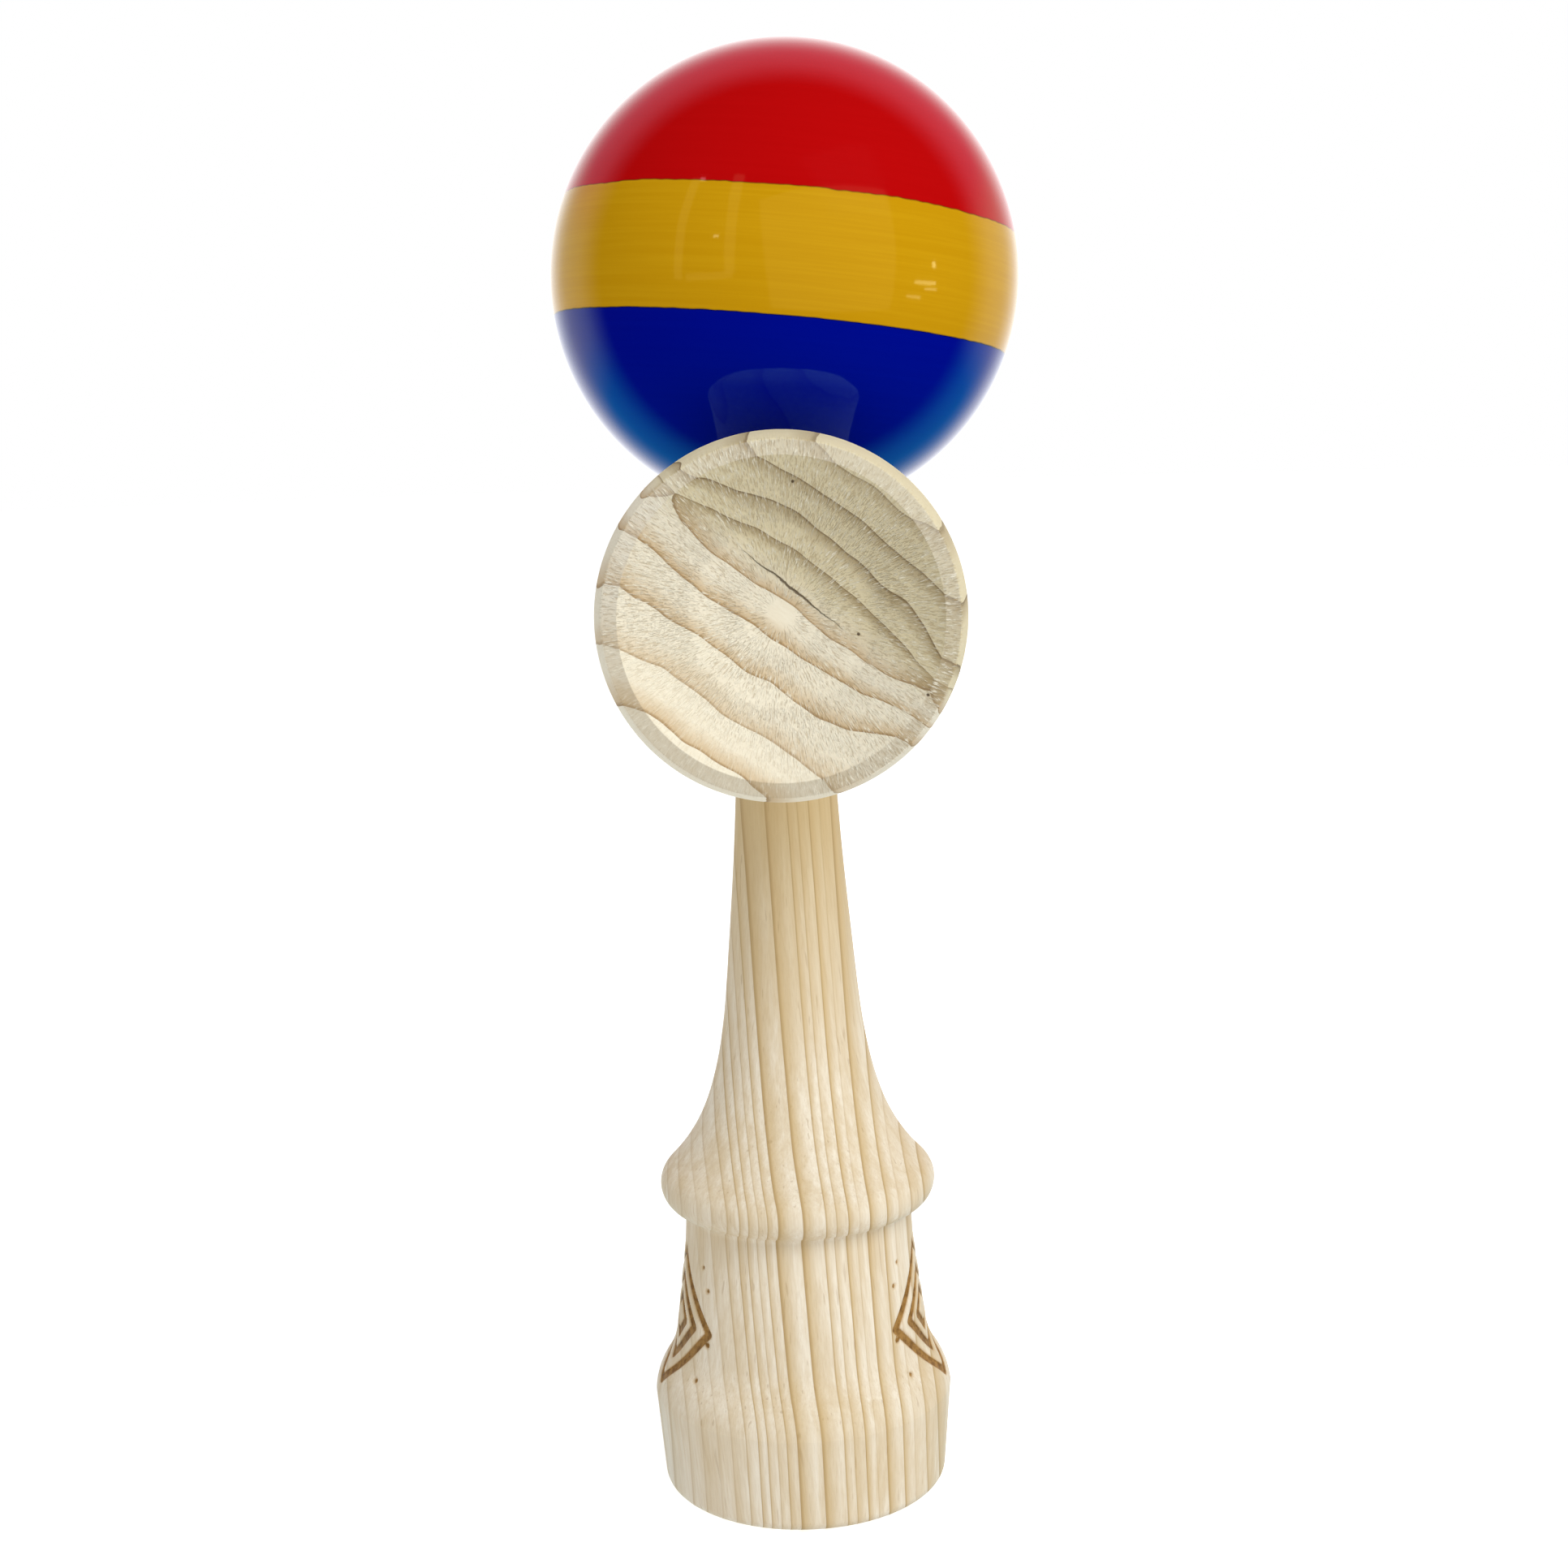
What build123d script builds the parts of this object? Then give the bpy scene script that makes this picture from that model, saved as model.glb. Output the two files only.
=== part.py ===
"""Kendama: a turned pine handle with a spike, a cross-piece with two cups, and a lacquered ball.

Millimetres, +Z up along the handle. The origin is the centre of the handle's base rim, which is
what the toy stands on. The big cup opens towards -Y and the small cup towards +Y.
The ball sits on the spike and leans on the saddle of the cross-piece.
"""

import os
from math import atan2, cos, degrees, radians, sin, sqrt

from build123d import *

# ---- handle, from the base rim upwards ----
base_foot_radius = 18.9
base_foot_round = 1.8
base_edge_radius = 20.0
base_edge_height = 12.9
base_edge_round = 0.35
base_mouth_radius = 16.0
base_bowl_sphere_radius = 20.0
shoulder_middle = (18.5, 17.0)
body_bottom = (16.9, 21.2)
body_top = (15.35, 33.5)
ring_centre = (15.1, 41.6)
ring_nose_radius = 3.3
ring_top_angle = 45.0
groove_round = 1.2
flare_top = (11.7, 53.0)
stem_points = [(9.85, 60.0), (8.4, 72.0), (7.06, 88.0)]
taper_bottom = (6.3, 104.0)
taper_top = (5.35, 134.0)
spike_shoulder = (4.0, 162.0)
spike_end_radius = 3.75
spike_end_round = 3.2
handle_length = 167.5

# ---- cross-piece ----
cross_height = 120.0
waist_radius = 11.3
taper_clearance = 0.05
big_face = 35.0
big_mouth_radius = 19.1
big_ridge_radius = 20.95
big_rim_radius = 22.05
big_rim_setback = 4.5
big_bowl_sphere_radius = 26.0
small_face = 34.0
small_mouth_radius = 17.6
small_ridge_radius = 19.3
small_rim_radius = 20.3
small_rim_setback = 4.0
small_bowl_sphere_radius = 24.0
lip_bulge = 0.2
ridge_round = 0.3
rim_round = 3.0

# ---- ball ----
ball_radius = 30.0
lacquer_thickness = 0.3
ball_centre = (1.7, 0.6, 160.8)
side_lean = 6.6
back_lean = 3.5
band_half_width = 7.5
bore_radius = 8.5
bore_mouth_radius = 11.0
bore_bevel_depth = 2.7
bore_end_height = 14.3

# ---- string holes and bead ----
string_hole_radius = 1.25
string_hole_bevel = 0.7
handle_hole_radius = 1.6
bead_radius = 4.0
bead_hole_radius = 0.95
bead_length = 6.4
bead_gap = 0.2
bead_round = 1.4

cut_margin = 1.0


def on_circle(centre, radius, angle):
    """Point of a circle at an angle in degrees, in a sketch's plane."""
    return (centre[0] + radius * cos(radians(angle)), centre[1] + radius * sin(radians(angle)))


def sphere_height(radius, offset):
    """Height of a sphere's surface above its middle, at an offset from its axis."""
    return sqrt(radius**2 - offset**2)


def sphere_arc(radius, start, end):
    """Arc of the circle round the sketch's origin between two of its points."""
    halfway = Vector(start[0] + end[0], start[1] + end[1]).normalized() * radius
    return ThreePointArc(start, (halfway.X, halfway.Y), end)


def bowl_depth(mouth_radius, bowl_radius):
    """Depth of a round bowl below its mouth."""
    return bowl_radius - sphere_height(bowl_radius, mouth_radius)


def bowl_arc(mouth_radius, mouth_height, bowl_radius, inwards):
    """Section of a round bowl from its mouth to its deepest point on the axis."""
    deepest = mouth_height + inwards * bowl_depth(mouth_radius, bowl_radius)
    return TangentArc((0, deepest), (mouth_radius, mouth_height), tangent=(1, 0))


def turned_slope(slope, start, end):
    """Direction at the end of an arc that leaves its start point in a given direction."""
    start_angle = atan2(slope[1], slope[0])
    chord_angle = atan2(end[1] - start[1], end[0] - start[0])
    return on_circle((0, 0), 1, degrees(2 * chord_angle - start_angle))


def corner(sketch, point):
    """The sketch's corner nearest to a point."""
    return sketch.vertices().sort_by_distance((*point, 0))[0]


def write_part(part, name):
    """Label a finished piece and write it as a STEP file."""
    part.label = name
    export_step(part, f"parts/{name}.step")


os.makedirs("parts", exist_ok=True)

# ---- handle: one turned piece from the base cup to the spike ----
base_foot = (base_foot_radius, 0)
base_edge = (base_edge_radius, base_edge_height)
base_bowl_bottom = (0, bowl_depth(base_mouth_radius, base_bowl_sphere_radius))
ring_bottom = on_circle(ring_centre, ring_nose_radius, -90)
ring_nose = on_circle(ring_centre, ring_nose_radius, 0)
ring_top = on_circle(ring_centre, ring_nose_radius, ring_top_angle)
spike_corner = (spike_end_radius, handle_length)
spike_tip = (0, handle_length)
flare_start_slope = on_circle((0, 0), 1, ring_top_angle + 90)
flare_end_slope = turned_slope(flare_start_slope, ring_top, flare_top)
body_slope = (body_bottom[0] - body_top[0], body_bottom[1] - body_top[1])
shoulder_slope = turned_slope(body_slope, body_bottom, shoulder_middle)
taper_slope = (taper_top[0] - taper_bottom[0], taper_top[1] - taper_bottom[1])

with BuildPart() as handle:
    with BuildSketch(Plane.XZ) as handle_section:
        with BuildLine():
            bowl_arc(base_mouth_radius, 0, base_bowl_sphere_radius, 1)
            Line((base_mouth_radius, 0), base_foot)
            Line(base_foot, base_edge)
            TangentArc(body_bottom, shoulder_middle, tangent=body_slope)
            TangentArc(shoulder_middle, base_edge, tangent=shoulder_slope)
            Line(body_bottom, body_top)
            Line(body_top, ring_bottom)
            ThreePointArc(ring_bottom, ring_nose, ring_top)
            TangentArc(ring_top, flare_top, tangent=flare_start_slope)
            Spline(flare_top, *stem_points, taper_bottom, tangents=[flare_end_slope, taper_slope])
            Polyline(taper_bottom, taper_top, spike_shoulder, spike_corner, spike_tip)
            Line(spike_tip, base_bowl_bottom)
        make_face()
        fillet(corner(handle_section, base_foot), base_foot_round)
        fillet(corner(handle_section, base_edge), base_edge_round)
        fillet(corner(handle_section, ring_bottom), groove_round)
        fillet(corner(handle_section, spike_corner), spike_end_round)
    revolve(axis=Axis.Z)
    with BuildSketch(Plane.YZ):
        with Locations((0, cross_height)):
            Circle(handle_hole_radius)
    extrude(amount=base_edge_radius, both=True, mode=Mode.SUBTRACT)

write_part(handle.part, "handle")

# ---- cross-piece: the two cups back to back on a waist, with a tapered hole for the handle ----
big_rim = (big_rim_radius, big_rim_setback - big_face)
big_ridge = (big_ridge_radius, -big_face)
big_lip_middle = ((big_rim_radius + big_ridge_radius) / 2 + lip_bulge, big_rim_setback / 2 - big_face)
small_rim = (small_rim_radius, small_face - small_rim_setback)
small_ridge = (small_ridge_radius, small_face)
small_lip_middle = (
    (small_rim_radius + small_ridge_radius) / 2 + lip_bulge,
    small_face - small_rim_setback / 2,
)
waist = (waist_radius, 0)
cross_axis = Axis((0, 0, cross_height), (0, 1, 0))
taper_rate = (taper_top[0] - taper_bottom[0]) / (taper_top[1] - taper_bottom[1])


def hole_radius(height):
    """Radius of the cross-piece's tapered hole, which follows the handle's taper."""
    return taper_bottom[0] + taper_clearance + taper_rate * (height - taper_bottom[1])


hole_bottom = cross_height - waist_radius - cut_margin
hole_top = cross_height + waist_radius + cut_margin

with BuildPart() as cross_piece:
    with BuildSketch(Plane.XY.offset(cross_height)) as cross_section:
        with BuildLine():
            bowl_arc(big_mouth_radius, -big_face, big_bowl_sphere_radius, 1)
            Line((big_mouth_radius, -big_face), big_ridge)
            ThreePointArc(big_ridge, big_lip_middle, big_rim)
            TangentArc(waist, big_rim, tangent=(0, -1))
            TangentArc(waist, small_rim, tangent=(0, 1))
            ThreePointArc(small_rim, small_lip_middle, small_ridge)
            Line(small_ridge, (small_mouth_radius, small_face))
            bowl_arc(small_mouth_radius, small_face, small_bowl_sphere_radius, -1)
            Line(
                (0, small_face - bowl_depth(small_mouth_radius, small_bowl_sphere_radius)),
                (0, bowl_depth(big_mouth_radius, big_bowl_sphere_radius) - big_face),
            )
        make_face()
        for rim in (big_rim, small_rim):
            fillet(corner(cross_section, rim), rim_round)
        for ridge in (big_ridge, small_ridge):
            fillet(corner(cross_section, ridge), ridge_round)
    revolve(axis=cross_axis)
    with BuildSketch(Plane.XZ):
        with BuildLine():
            Polyline(
                (0, hole_bottom),
                (hole_radius(hole_bottom), hole_bottom),
                (hole_radius(hole_top), hole_top),
                (0, hole_top),
                close=True,
            )
        make_face()
    revolve(axis=Axis.Z, mode=Mode.SUBTRACT)
    with BuildSketch(Plane.YZ):
        with Locations((0, cross_height)):
            Circle(string_hole_radius)
    extrude(amount=waist_radius + cut_margin, mode=Mode.SUBTRACT)
    with BuildSketch(Plane.YZ.offset(waist_radius - string_hole_bevel)):
        with Locations((0, cross_height)):
            Circle(string_hole_radius)
    extrude(amount=string_hole_bevel + cut_margin, taper=-45, mode=Mode.SUBTRACT)

write_part(cross_piece.part, "cross_piece")

# ---- ball: wooden core with a bore for the spike, and three coats of lacquer ----
ball_up = Vector(0, 0, 1).rotate(Axis.X, -back_lean).rotate(Axis.Y, side_lean)
ball_side = Vector(1, 0, 0).rotate(Axis.Y, side_lean)
ball_plane = Plane(origin=ball_centre, x_dir=ball_side, z_dir=ball_side.cross(ball_up))
ball_axis = Axis(ball_centre, ball_up)
core_radius = ball_radius - lacquer_thickness
core_top = (string_hole_radius, sphere_height(core_radius, string_hole_radius))
core_mouth = (bore_mouth_radius, -sphere_height(core_radius, bore_mouth_radius))
bore_bottom_edge = (bore_radius, core_mouth[1] + bore_bevel_depth)

with BuildPart() as ball_core:
    with BuildSketch(ball_plane):
        with BuildLine():
            Line((string_hole_radius, bore_end_height), core_top)
            ThreePointArc(core_top, (core_radius, 0), core_mouth)
            Polyline(
                core_mouth,
                bore_bottom_edge,
                (bore_radius, bore_end_height),
                (string_hole_radius, bore_end_height),
            )
        make_face()
    revolve(axis=ball_axis)

write_part(ball_core.part, "ball_core")


def coat_ends(radius):
    """The four places on a sphere where a coat of lacquer starts or ends, from the mouth up."""
    return [
        (bore_mouth_radius, -sphere_height(radius, bore_mouth_radius)),
        (sphere_height(radius, band_half_width), -band_half_width),
        (sphere_height(radius, band_half_width), band_half_width),
        (string_hole_radius, sphere_height(radius, string_hole_radius)),
    ]


inner_ends = coat_ends(core_radius)
outer_ends = coat_ends(ball_radius)
for number, name in enumerate(["blue_lacquer", "yellow_lacquer", "red_lacquer"]):
    with BuildPart() as coat:
        with BuildSketch(ball_plane):
            with BuildLine():
                sphere_arc(core_radius, inner_ends[number], inner_ends[number + 1])
                sphere_arc(ball_radius, outer_ends[number], outer_ends[number + 1])
                Line(inner_ends[number], outer_ends[number])
                Line(inner_ends[number + 1], outer_ends[number + 1])
            make_face()
        revolve(axis=ball_axis)
    write_part(coat.part, name)

# ---- bead: the swivel at the top of the bore, where the string is knotted ----
bead_top = bore_end_height - bead_gap

with BuildPart() as string_bead:
    with BuildSketch(ball_plane) as bead_section:
        with BuildLine():
            Polyline(
                (bead_hole_radius, bead_top),
                (bead_radius, bead_top),
                (bead_radius, bead_top - bead_length),
                (bead_hole_radius, bead_top - bead_length),
                close=True,
            )
        make_face()
        for height in (bead_top, bead_top - bead_length):
            fillet(corner(bead_section, (bead_radius, height)), bead_round)
    revolve(axis=ball_axis)

write_part(string_bead.part, "string_bead")
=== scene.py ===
from math import acos, atan2, ceil, cos, hypot, pi, radians, sin, sqrt, tan

import bmesh
import bpy
import numpy as np
from mathutils import Matrix, Vector, noise


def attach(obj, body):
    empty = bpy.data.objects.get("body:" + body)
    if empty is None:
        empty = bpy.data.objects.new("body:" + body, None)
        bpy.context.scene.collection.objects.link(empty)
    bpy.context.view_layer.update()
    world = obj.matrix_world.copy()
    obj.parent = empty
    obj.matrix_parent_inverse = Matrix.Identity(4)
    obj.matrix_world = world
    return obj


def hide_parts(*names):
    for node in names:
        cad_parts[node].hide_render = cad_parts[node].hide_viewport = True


# A kendama: turned pine handle, pine cross-piece with two cups, lacquered ball.
# Lengths in the turning outlines are millimetres; everything placed in the scene is in metres.

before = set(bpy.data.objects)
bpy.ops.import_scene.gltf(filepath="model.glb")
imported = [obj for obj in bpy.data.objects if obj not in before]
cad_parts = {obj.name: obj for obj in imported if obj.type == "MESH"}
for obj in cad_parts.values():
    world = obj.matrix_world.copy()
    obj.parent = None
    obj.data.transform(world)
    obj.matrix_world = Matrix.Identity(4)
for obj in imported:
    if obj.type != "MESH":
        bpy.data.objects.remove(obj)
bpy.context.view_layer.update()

MM = 0.001
FULL_TURN = 2 * pi
on_axis = 1e-6
doubled_point_gap = 0.02
unbroken = 1e3

# ---- sizes, as the solid model has them ----
base_foot_radius = 18.9
base_foot_round = 1.8
base_edge_radius = 20.0
base_edge_height = 12.9
base_edge_round = 0.35
base_mouth_radius = 16.0
base_bowl_radius = 20.0
shoulder_middle = (18.5, 17.0)
body_bottom = (16.9, 21.2)
body_top = (15.35, 33.5)
ring_centre = (15.1, 41.6)
ring_nose_radius = 3.3
ring_top_angle = radians(45)
groove_round = 1.2
flare_top = (11.7, 53.0)
stem_points = [(9.85, 60.0), (8.4, 72.0), (7.06, 88.0)]
taper_bottom = (6.3, 104.0)
taper_top = (5.35, 134.0)
spike_shoulder = (4.0, 162.0)
spike_end_radius = 3.75
spike_end_round = 3.2
handle_length = 167.5
handle_hole_radius = 1.6

cross_height = 120.0
waist_radius = 11.3
taper_clearance = 0.05
big_face = -35.0
big_mouth_radius = 19.1
big_ridge_radius = 20.95
big_rim = (22.05, -30.5)
big_bowl_radius = 26.0
small_face = 34.0
small_mouth_radius = 17.6
small_ridge_radius = 19.3
small_rim = (20.3, 30.0)
small_bowl_radius = 24.0
lip_bulge = 0.2
ridge_round = 0.3
rim_round = 3.0
string_hole_radius = 1.25
string_hole_bevel = 0.7

ball_radius = 30.0
lacquer_thickness = 0.3
ball_centre = Vector((1.7, 0.6, 160.8)) * MM
side_lean = radians(6.6)
back_lean = radians(3.5)
band_half_width = 7.5
bore_radius = 8.5
bore_mouth_radius = 11.0
bore_bevel_depth = 2.7
bore_end_height = 14.3
bead_radius = 4.0
bead_hole_radius = 0.95
bead_length = 6.4
bead_gap = 0.2
bead_round = 1.4


# ---- outlines: lists of (radius, height) points in millimetres ----
def gap_between(first, second):
    return hypot(first[0] - second[0], first[1] - second[1])


def on_circle(centre, radius, angle):
    return (centre[0] + radius * cos(angle), centre[1] + radius * sin(angle))


def swept(centre, radius, begin, sweep, steps):
    """Points of a circular arc in equal steps."""
    return [on_circle(centre, radius, begin + sweep * i / steps) for i in range(steps + 1)]


def arc(centre, radius, start, end, pitch=0.25):
    """Points of a circular arc between two angles."""
    steps = max(3, ceil(abs(end - start) * radius / pitch))
    return swept(centre, radius, start, end - start, steps)


def straight(start, end, pitch=0.5):
    steps = max(1, ceil(gap_between(end, start) / pitch))
    return [
        (start[0] + (end[0] - start[0]) * i / steps, start[1] + (end[1] - start[1]) * i / steps)
        for i in range(steps + 1)
    ]


def leaving_arc(start, slope, end, pitch=0.25):
    """Arc that leaves its start in the direction of slope and passes through end, and its last direction."""
    chord = (end[0] - start[0], end[1] - start[1])
    slope_angle = atan2(slope[1], slope[0])
    bend = atan2(chord[1], chord[0]) - slope_angle
    bend = (bend + pi) % FULL_TURN - pi
    radius = hypot(*chord) / (2 * sin(bend))
    centre = on_circle(start, radius, slope_angle + pi / 2)
    begin = slope_angle - pi / 2
    steps = max(3, ceil(abs(2 * bend * radius) / pitch))
    points = swept(centre, radius, begin, 2 * bend, steps)
    last = slope_angle + 2 * bend
    return points, (cos(last), sin(last))


def rounded(line, corner, following, radius, steps=8):
    """Points that replace a corner between two straight runs by a small arc."""
    into = Vector((corner[0] - line[0], corner[1] - line[1])).normalized()
    out = Vector((following[0] - corner[0], following[1] - corner[1])).normalized()
    turn = into.angle_signed(out) * -1
    reach = radius * tan(abs(turn) / 2)
    start = Vector(corner) - into * reach
    side = 1 if turn > 0 else -1
    centre = start + Vector((-into.y, into.x)) * radius * side
    begin = atan2(start.y - centre.y, start.x - centre.x)
    return swept(centre, radius, begin, turn, steps)


def groove(line_start, line_end, circle_centre, circle_radius, radius, steps=12):
    """The hollow arc between a nearly upright line and the round nose above it."""
    along = (Vector(line_end) - Vector(line_start)).normalized()
    outwards = Vector((along.y, -along.x))
    start = Vector(line_start) + outwards * radius
    to_centre = start - Vector(circle_centre)
    half = to_centre.dot(along)
    reach = circle_radius + radius
    travel = -half - sqrt(half**2 - to_centre.length_squared + reach**2)
    centre = start + along * travel
    foot = centre - outwards * radius
    nose = Vector(circle_centre) + (centre - Vector(circle_centre)).normalized() * circle_radius
    begin = atan2(foot.y - centre.y, foot.x - centre.x)
    end = atan2(nose.y - centre.y, nose.x - centre.x)
    sweep = (end - begin + pi) % FULL_TURN - pi
    points = swept(centre, radius, begin, sweep, steps)
    nose_angle = atan2(nose.y - circle_centre[1], nose.x - circle_centre[0])
    return points, nose_angle


def faired(points, start_slope, end_slope, pitch=0.5):
    """Smooth curve through points, with given directions at its two ends."""
    places = np.array(points, float)
    runs = np.linalg.norm(np.diff(places, axis=0), axis=1)
    at = np.concatenate([[0], np.cumsum(runs)])
    count = len(places)
    matrix = np.zeros((count, count))
    wanted = np.zeros((count, 2))
    matrix[0, 0] = matrix[-1, -1] = 1
    wanted[0] = np.array(start_slope) / np.linalg.norm(start_slope)
    wanted[-1] = np.array(end_slope) / np.linalg.norm(end_slope)
    for i in range(1, count - 1):
        before, after = runs[i - 1], runs[i]
        matrix[i, i - 1 : i + 2] = [after, 2 * (before + after), before]
        rise_before = (places[i] - places[i - 1]) / before
        rise_after = (places[i + 1] - places[i]) / after
        wanted[i] = 3 * (after * rise_before + before * rise_after)
    slopes = np.linalg.solve(matrix, wanted)
    made = []
    for i in range(count - 1):
        steps = ceil(runs[i] / pitch)
        for k in range(steps + (i == count - 2)):
            t = k / steps
            made.append(
                tuple(
                    (2 * t**3 - 3 * t**2 + 1) * places[i]
                    + (t**3 - 2 * t**2 + t) * runs[i] * slopes[i]
                    + (3 * t**2 - 2 * t**3) * places[i + 1]
                    + (t**3 - t**2) * runs[i] * slopes[i + 1]
                )
            )
    return made


def bowl(mouth_radius, mouth_height, bowl_radius, inwards, pitch=0.35):
    """Section of a round bowl, from its deepest point out to its mouth."""
    half = acos(sqrt(bowl_radius**2 - mouth_radius**2) / bowl_radius)
    depth = bowl_radius - sqrt(bowl_radius**2 - mouth_radius**2)
    centre = (0, mouth_height + inwards * (depth - bowl_radius))
    middle = inwards * pi / 2
    return arc(centre, bowl_radius, middle, middle - inwards * half, pitch)


def joined(*runs):
    """One outline from several runs, without doubled points."""
    outline = []
    for run in runs:
        for point in run:
            if not outline or gap_between(point, outline[-1]) > doubled_point_gap:
                outline.append((float(point[0]), float(point[1])))
    return outline


def finer(outline, low, high, pitch):
    """The outline with no run longer than pitch between two heights."""
    made = [outline[0]]
    for start, end in zip(outline, outline[1:]):
        inside = low <= (start[1] + end[1]) / 2 <= high
        made += straight(start, end, pitch if inside else unbroken)[1:]
    return made


# ---- pieces ----
def put_in_scene(name, data):
    thing = bpy.data.objects.new(name, data)
    bpy.context.scene.collection.objects.link(thing)
    return thing


def mesh_of(name, shape):
    mesh = bpy.data.meshes.new(name)
    shape.to_mesh(mesh)
    shape.free()
    return mesh


def finish_mesh(name, mesh, crease=radians(32)):
    """A smooth-shaded object from a mesh whose edges stay crisp."""
    shape = bmesh.new()
    shape.from_mesh(mesh)
    bmesh.ops.recalc_face_normals(shape, faces=shape.faces)
    shape.to_mesh(mesh)
    shape.free()
    for face in mesh.polygons:
        face.use_smooth = True
    mesh.set_sharp_from_angle(angle=crease)
    return put_in_scene(name, mesh)


def turned(name, outline, place, columns, closed=False, crowding=0.0):
    """An outline of (radius, height) points turned about the local Z axis of place.
    Crowding brings the columns closer together towards +X and -X."""
    shape = bmesh.new()
    rows = []
    for radius, height in outline:
        if radius < on_axis:
            rows.append([shape.verts.new(place @ Vector((0, 0, height * MM)))])
            continue
        row = []
        for column in range(columns):
            angle = FULL_TURN * column / columns
            angle -= crowding * sin(2 * angle)
            spot = Vector((radius * cos(angle), radius * sin(angle), height)) * MM
            row.append(shape.verts.new(place @ spot))
        rows.append(row)
    pairs = list(zip(rows, rows[1:]))
    if closed:
        pairs.append((rows[-1], rows[0]))
    for lower, upper in pairs:
        for column in range(columns):
            after = (column + 1) % columns
            corners = [lower[column % len(lower)], lower[after % len(lower)]]
            corners += [upper[after % len(upper)], upper[column % len(upper)]]
            shape.faces.new(list(dict.fromkeys(corners)))
    return finish_mesh(name, mesh_of(name, shape))


def cut(piece, *tools):
    """Drill or ream a piece with other shapes, which are then gone."""
    for tool in tools:
        drilling = piece.modifiers.new("drilling", "BOOLEAN")
        drilling.operation = "DIFFERENCE"
        drilling.solver = "EXACT"
        drilling.object = tool
    bpy.context.view_layer.update()
    graph = bpy.context.evaluated_depsgraph_get()
    mesh = bpy.data.meshes.new_from_object(piece.evaluated_get(graph))
    name = piece.name
    for gone in (piece, *tools):
        bpy.data.objects.remove(gone)
    return finish_mesh(name, mesh)


upright = Matrix.Identity(4)
cup_axis = Matrix.Translation((0, 0, cross_height * MM)) @ Matrix.Rotation(-pi / 2, 4, "X")
string_axis = Matrix.Translation((0, 0, cross_height * MM)) @ Matrix.Rotation(pi / 2, 4, "Y")
ball_place = (
    Matrix.Translation(ball_centre)
    @ Matrix.Rotation(side_lean, 4, "Y")
    @ Matrix.Rotation(-back_lean, 4, "X")
)

# ---- handle ----
ring_bottom = on_circle(ring_centre, ring_nose_radius, -pi / 2)
ring_top = on_circle(ring_centre, ring_nose_radius, ring_top_angle)
body_slope = (body_bottom[0] - body_top[0], body_bottom[1] - body_top[1])
lower_shoulder, shoulder_slope = leaving_arc(body_bottom, body_slope, shoulder_middle, 0.4)
upper_shoulder, _ = leaving_arc(shoulder_middle, shoulder_slope, (base_edge_radius, base_edge_height), 0.4)
flare, flare_slope = leaving_arc(ring_top, on_circle((0, 0), 1, ring_top_angle + pi / 2), flare_top, 0.5)
taper_slope = (taper_top[0] - taper_bottom[0], taper_top[1] - taper_bottom[1])
hollow, nose_start = groove(body_top, ring_bottom, ring_centre, ring_nose_radius, groove_round)
base_foot = (base_foot_radius, 0)
base_edge = (base_edge_radius, base_edge_height)
above_edge = upper_shoulder[-3]
foot_arc = rounded((base_mouth_radius, 0), base_foot, base_edge, base_foot_round)
edge_arc = rounded(base_foot, base_edge, above_edge, base_edge_round, 5)
spike_arc = rounded(
    spike_shoulder, (spike_end_radius, handle_length), (0, handle_length), spike_end_round, 14
)
handle_outline = joined(
    bowl(base_mouth_radius, 0, base_bowl_radius, 1, 0.8),
    straight((base_mouth_radius, 0), foot_arc[0]),
    foot_arc,
    straight(foot_arc[-1], edge_arc[0], 1.0),
    edge_arc,
    upper_shoulder[-3::-1],
    lower_shoulder[::-1],
    straight(body_bottom, body_top),
    straight(body_top, hollow[0]),
    hollow,
    arc(ring_centre, ring_nose_radius, nose_start, ring_top_angle, 0.4),
    flare,
    faired([flare_top, *stem_points, taper_bottom], flare_slope, taper_slope, 1.2),
    straight(taper_bottom, taper_top, 1.5),
    straight(taper_top, spike_shoulder, 1.5),
    straight(spike_shoulder, spike_arc[0], 1.0),
    spike_arc,
    [(0, handle_length)],
)

# Burnt marks on the two sides of the body: nested lozenges with a few pricked dots.
mark_low = 14.5
mark_high = 33.6
mark_pitch = 0.32
mark_side_angle = radians(80)
mark_middle = 24.0
mark_half_height = 9.0
mark_half_width = 9.0
mark_line_width = 1.15
mark_depth = 0.3
mark_edge_width = 0.42
mark_body_radius = 16.3
mark_least_radius = 10
mark_lozenges = [1.0, 0.62, 0.3]
mark_dots = [(-8.3, 5.6, 0.32), (-8.9, -1.4, 0.4), (-6.9, 8.4, 0.25), (-7.9, -6.2, 0.28)]

handle_columns = 324
mark_crowding = 0.28
cross_columns = 360
drill_reach = 20

handle = turned(
    "handle_turned",
    finer(handle_outline, mark_low, mark_high, mark_pitch),
    upright,
    handle_columns,
    crowding=mark_crowding,
)
drill_outline = [
    (0, -drill_reach),
    (handle_hole_radius, -drill_reach),
    (handle_hole_radius, drill_reach),
    (0, drill_reach),
]
handle = cut(handle, turned("drill", drill_outline, string_axis, 48))


def segment_distance(across, up, start, end):
    """Distance from points to a straight segment, all in the flat layout of a mark."""
    along = np.array([end[0] - start[0], end[1] - start[1]], float)
    t = ((across - start[0]) * along[0] + (up - start[1]) * along[1]) / (along @ along)
    t = np.clip(t, 0, 1)
    return np.hypot(across - start[0] - t * along[0], up - start[1] - t * along[1])


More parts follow.
